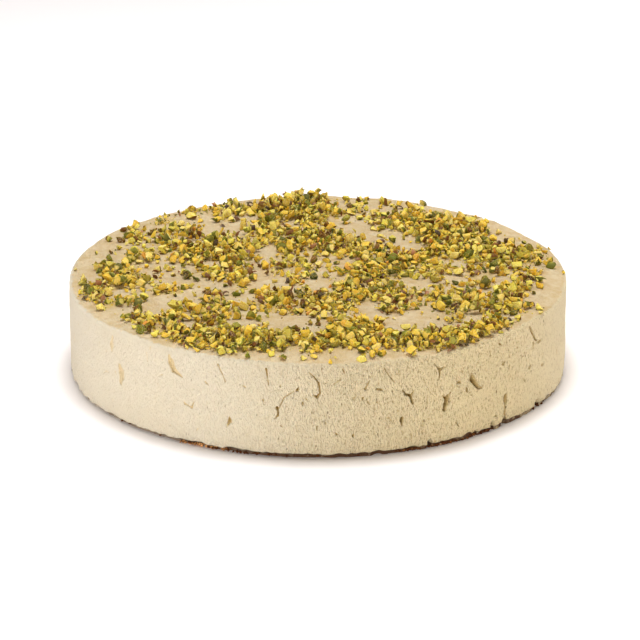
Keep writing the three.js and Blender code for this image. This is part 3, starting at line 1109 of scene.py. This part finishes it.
def toasted_crumbs(settings):
    """Halva crumbs toasted on the tray: dry and matt, from cream to orange-brown."""
    material, node = new_material("toasted_crumbs")
    tone, pale = (node("Attribute", attribute_name=name, output="Fac") for name in ("tone", "pale"))
    browns = ((0.7, settings.toasted), (0.93, settings.toasted_pale), (1.0, settings.cream))
    colour = node("ValToRGB", (tone,), stops=browns)
    pale = node("MapRange", (tone, 0.15, 0.6, 0.0, pale))
    colour = node(**MIX, inputs={0: pale, MIX_A: colour, MIX_B: settings.toasted_light})
    shader = {"Base Color": colour, "Roughness": 0.85, "IOR": 1.45, "Specular IOR Level": 0.2}
    node("OutputMaterial", {"Surface": node("BsdfPrincipled", shader)})
    return material


# ---- Settings ---------------------------------------------------------------------------------


def colour_setting(name, description, colour):
    """A colour that a user can change, with an sRGB hex value as its default."""
    kind = dict(subtype="COLOR", size=4, min=0, max=1)
    return FloatVectorProperty(name=name, description=description, default=linear(colour), **kind)


class HalvaBlockSettings(PropertyGroup):
    """Sizes and colours of the pressed block."""

    rim_radius: FloatProperty(
        name="Rim", description="Rounding between the wall and the top", default=2.0 * MM, unit="LENGTH"
    )
    top_relief: FloatProperty(
        name="Top relief", description="Height of the top's soft mounds", default=0.7 * MM, unit="LENGTH"
    )
    wall_cell: FloatProperty(
        name="Wall cell", description="Height of the wall mesh's cells", default=1.2 * MM, unit="LENGTH"
    )
    top_cells: IntProperty(name="Top cells", description="Cells across the top", default=100, min=40, max=140)
    cream: colour_setting("Cream", "Main colour of the mass", "#dbd0b9")
    warm_cream: colour_setting("Warm cream", "Colour of the warmer clouds", "#d7caaf")
    # The painted warm glow that makes the wall more golden towards the right.
    golden_cream: colour_setting("Golden cream", "Colour where the mass holds more oil", "#edd9aa")
    # Painted shade in the low parts of the grain.
    grain_shade: colour_setting("Fibre", "Colour between the fibres", "#a98b52")
    # Painted shade inside the pores.
    pore_shade: colour_setting("Pore", "Colour inside pores", "#7d5e2c")
    # Oil yellow, partly painted warm light reflected inside the creases.
    crease_oil_and_glow: colour_setting("Crease oil", "Colour of the oily creases", "#dabb78")
    # Painted shade in the creases' deepest parts.
    crease_shade: colour_setting("Crease bottom", "Colour of the creases' deepest parts", "#8a6319")
    top_tan: colour_setting("Top", "Colour of the top", "#e8d3ab")
    top_oily: colour_setting("Oily top", "Colour of the top where oil has gathered", "#d8ba84")
    # Nut dust, with painted warm light reflected from the nuts.
    nut_dust_and_glow: colour_setting("Nut dust", "Colour of the top between the nuts", "#dfbc66")
    # Toasted brown of the crumbs and the foot; on the foot it also stands for painted shade under the wall's
    # edge.
    toasted: colour_setting("Toasted foot", "Colour of the toasted foot", "#552e12")
    toasted_pale: colour_setting("Toasted crumbs", "Colour of well toasted crumbs", "#86592f")
    toasted_light: colour_setting("Pale crumbs", "Colour of lightly toasted crumbs", "#e0a468")
    seed: IntProperty(name="Seed", description="Chooses another random layout of crumbs", default=11)


class PistachioSettings(PropertyGroup):
    """Amounts and colours of the chopped nuts."""

    chunks: IntProperty(name="Chunks", description="Number of thick bits", default=1960, min=0)
    slices: IntProperty(name="Slices", description="Number of thin slices", default=240, min=0)
    grits: IntProperty(name="Grits", description="Number of small bits", default=3250, min=0)
    skins: IntProperty(name="Skins", description="Number of loose skin flakes", default=340, min=0)
    meal: IntProperty(name="Meal", description="Number of fine grains", default=3800, min=0)
    seed: IntProperty(name="Seed", description="Chooses another random layout", default=7)
    orange: colour_setting("Orange", "Ripest flesh", "#d98f3c")
    gold: colour_setting("Gold", "Golden flesh", "#e0b63c")
    yellow: colour_setting("Yellow", "Commonest flesh", "#dfbe42")
    pale: colour_setting("Pale", "Palest flesh", "#e3cd76")
    pale_crumb: colour_setting("Pale crumb", "Fine crumbs on the cut faces", "#e8d6a0")
    lime: colour_setting("Lime", "Greenish flesh", "#decf55")
    green: colour_setting("Green", "Greenest flesh", "#b5a645")
    # Painted shade in the low parts of the crumbly cut faces.
    flesh_shade: colour_setting("Flesh shade", "Darker flecks in the flesh", "#bd942e")
    skin_green: colour_setting("Outer green", "Outer face under the skin", "#6c701c")
    skin_dark_green: colour_setting("Dark green", "Darkest outer face", "#363d0e")
    skin_olive: colour_setting("Olive", "Palest outer face", "#98902e")
    skin_purple: colour_setting("Purple skin", "Rests of skin", "#6c3f18")
    skin_dark: colour_setting("Dark skin", "Darkest skin", "#352006")
    skin_rose: colour_setting("Rose skin", "Palest skin", "#aa7044")


class HalvaStageSettings(PropertyGroup):
    """The camera and the light."""

    distance: FloatProperty(name="Distance", description="Camera to cake", default=2.0, unit="LENGTH")
    elevation: FloatProperty(
        name="Elevation", description="Camera angle above level", default=math.radians(20.5), unit="ROTATION"
    )
    lens: FloatProperty(name="Lens", description="Focal length in mm", default=185.1, min=10)
    watts: FloatProperty(name="Light", description="Power of the lights", default=10.0, min=0)
    sky: FloatProperty(name="Sky", description="Brightness of the surroundings", default=0.06, min=0)


# ---- Operators --------------------------------------------------------------------------------


class HALVA_OT_block(Operator):
    """Make the pressed block of halva in place of its plain solid"""

    bl_idname = "halva.block"
    bl_label = "Halva block"

    def execute(self, context):
        settings = context.scene.halva_block
        block = add_object("halva_block", block_mesh(settings), pressed_halva(settings))
        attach(block, "root")
        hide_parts("halva")
        return {"FINISHED"}


class HALVA_OT_crumbs(Operator):
    """Put toasted crumbs under the edge of the wall"""

    bl_idname = "halva.crumbs"
    bl_label = "Crumbs"

    def execute(self, context):
        settings = context.scene.halva_block
        crumbs = add_object("halva_crumbs", crumb_mesh(settings.seed), toasted_crumbs(settings))
        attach(crumbs, "root")
        return {"FINISHED"}


class HALVA_OT_nuts(Operator):
    """Strew one kind of chopped pistachio over the top"""

    bl_idname = "halva.nuts"
    bl_label = "Chopped pistachios"

    kind: StringProperty(name="Kind", description="Kind of bit to strew", default="chunks")

    def execute(self, context):
        settings = context.scene.halva_pistachios
        counts = tuple((name, getattr(settings, name)) for name in KINDS)
        shapes, placed = strewn_bits("halva_block", counts, settings.seed)
        name = "pistachio_" + self.kind
        mesh = joined_bits(name, shapes[self.kind], placed[self.kind], settings.seed)
        look = "pistachio_skin" if self.kind == "skins" else "chopped_pistachio"
        make = pistachio_skin if self.kind == "skins" else pistachio_flesh
        bits = add_object(name, mesh, bpy.data.materials.get(look) or make(settings))
        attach(bits, "root")
        return {"FINISHED"}


class HALVA_OT_stage(Operator):
    """Set up the floor, the light and the camera"""

    bl_idname = "halva.stage"
    bl_label = "Stage"

    def execute(self, context):
        stage = context.scene.halva_stage
        scene = context.scene
        scene.view_settings.view_transform = "Standard"
        scene.view_settings.look = "None"
        add_floor()
        add_sky(scene, stage.sky)
        middle = Vector((0, 0, HEIGHT / 2 * MM))
        for name, share, *light in LIGHTS:
            add_light(name, share * stage.watts, middle, *light)
        add_camera(scene, stage, middle)
        return {"FINISHED"}


# The lights: the name of each, its share of the power, its azimuth from +X and its elevation above
# level in degrees, its distance and its size in metres, and its colour.
LIGHTS = (
    ("key", 0.56, -125, 9, 1.5, 0.5, "#f6f8fd"),
    ("left_fill", 0.38, -175, 9, 1.5, 0.6, "#f6f8fd"),
    ("front_fill", 1.05, -95, 9, 1.5, 0.6, "#fefcf8"),
    ("right_fill", 1.05, 5, 10, 1.5, 0.6, "#fffaf3"),
    ("overhead", 1.98, 90, 86, 1.5, 0.45, "#f5f7fc"),
    ("back_right", 0.90, 50, 50, 1.6, 1.0, "#fafafb"),
    ("back_left", 0.74, 150, 55, 1.6, 1.0, "#fbf8f6"),
)
AIM_RIGHT, AIM_DOWN = 1.35, 1.7  # mm, where the camera looks from the cake's middle
FLOOR_HALF = 4.0  # metres


def add_floor():
    """A plain white floor."""
    floor = bmesh.new()
    bmesh.ops.create_grid(floor, x_segments=1, y_segments=1, size=FLOOR_HALF)
    material, node = new_material("white_floor")
    shader = {"Base Color": linear("#f8f4f2"), "Roughness": 0.9, "Specular IOR Level": 0.1}
    node("OutputMaterial", {"Surface": node("BsdfPrincipled", shader)})
    add_object("floor", finished_mesh(floor, "floor"), material)


def add_sky(scene, strength):
    """An even, slightly warm glow from all around."""
    world = bpy.data.worlds.new("white_surroundings")
    world.use_nodes = True
    background = world.node_tree.nodes["Background"]
    background.inputs["Color"].default_value = linear("#ffdcb8")
    background.inputs["Strength"].default_value = strength
    scene.world = world


def add_light(name, watts, target, azimuth, elevation, distance, size, colour):
    """A square soft light that faces the cake."""
    data = bpy.data.lights.new(name, "AREA")
    data.size = size
    data.energy = watts
    data.color = linear(colour)[:3]
    light = bpy.data.objects.new(name, data)
    a, e = math.radians(azimuth), math.radians(elevation)
    away = Vector((math.cos(a) * math.cos(e), math.sin(a) * math.cos(e), math.sin(e)))
    light.location = target + away * distance
    light.rotation_euler = away.to_track_quat("Z", "Y").to_euler()
    bpy.context.scene.collection.objects.link(light)


def add_camera(scene, stage, middle):
    """A long lens in front and above, aimed a little below and to the right of the middle."""
    data = bpy.data.cameras.new("camera")
    data.lens = stage.lens
    data.sensor_width = 36.0
    data.clip_end = 20.0
    camera = bpy.data.objects.new("camera", data)
    e = stage.elevation
    away = Vector((0, -math.cos(e), math.sin(e)))
    up = Vector((0, math.sin(e), math.cos(e)))
    aim = middle + Vector((AIM_RIGHT * MM, 0, 0)) - up * AIM_DOWN * MM
    camera.location = aim + away * stage.distance
    camera.rotation_euler = away.to_track_quat("Z", "Y").to_euler()
    scene.collection.objects.link(camera)
    scene.camera = camera


# ---- Panel and registration -------------------------------------------------------------------


class VIEW3D_PT_halva(Panel):
    """Lists the pieces of the cake with their settings"""

    bl_label = "Pistachio halva"
    bl_space_type = "VIEW_3D"
    bl_region_type = "UI"
    bl_category = "Halva"

    def draw(self, context):
        layout = self.layout
        layout.operator(HALVA_OT_block.bl_idname)
        layout.operator(HALVA_OT_crumbs.bl_idname)
        for name in HalvaBlockSettings.__annotations__:
            layout.prop(context.scene.halva_block, name)
        for kind in KINDS:
            layout.operator(HALVA_OT_nuts.bl_idname, text="Pistachio " + kind).kind = kind
        for name in PistachioSettings.__annotations__:
            layout.prop(context.scene.halva_pistachios, name)
        layout.operator(HALVA_OT_stage.bl_idname)
        for name in HalvaStageSettings.__annotations__:
            layout.prop(context.scene.halva_stage, name)


CLASSES = (
    HalvaBlockSettings,
    PistachioSettings,
    HalvaStageSettings,
    HALVA_OT_block,
    HALVA_OT_crumbs,
    HALVA_OT_nuts,
    HALVA_OT_stage,
    VIEW3D_PT_halva,
)


def register():
    for made in CLASSES:
        bpy.utils.register_class(made)
    bpy.types.Scene.halva_block = PointerProperty(type=HalvaBlockSettings)
    bpy.types.Scene.halva_pistachios = PointerProperty(type=PistachioSettings)
    bpy.types.Scene.halva_stage = PointerProperty(type=HalvaStageSettings)


def unregister():
    del bpy.types.Scene.halva_stage
    del bpy.types.Scene.halva_pistachios
    del bpy.types.Scene.halva_block
    for made in reversed(CLASSES):
        bpy.utils.unregister_class(made)


def main():
    register()
    bpy.ops.halva.stage()
    bpy.ops.halva.block()
    bpy.ops.halva.crumbs()
    for kind in KINDS:
        bpy.ops.halva.nuts(kind=kind)


if __name__ == "__main__":
    main()
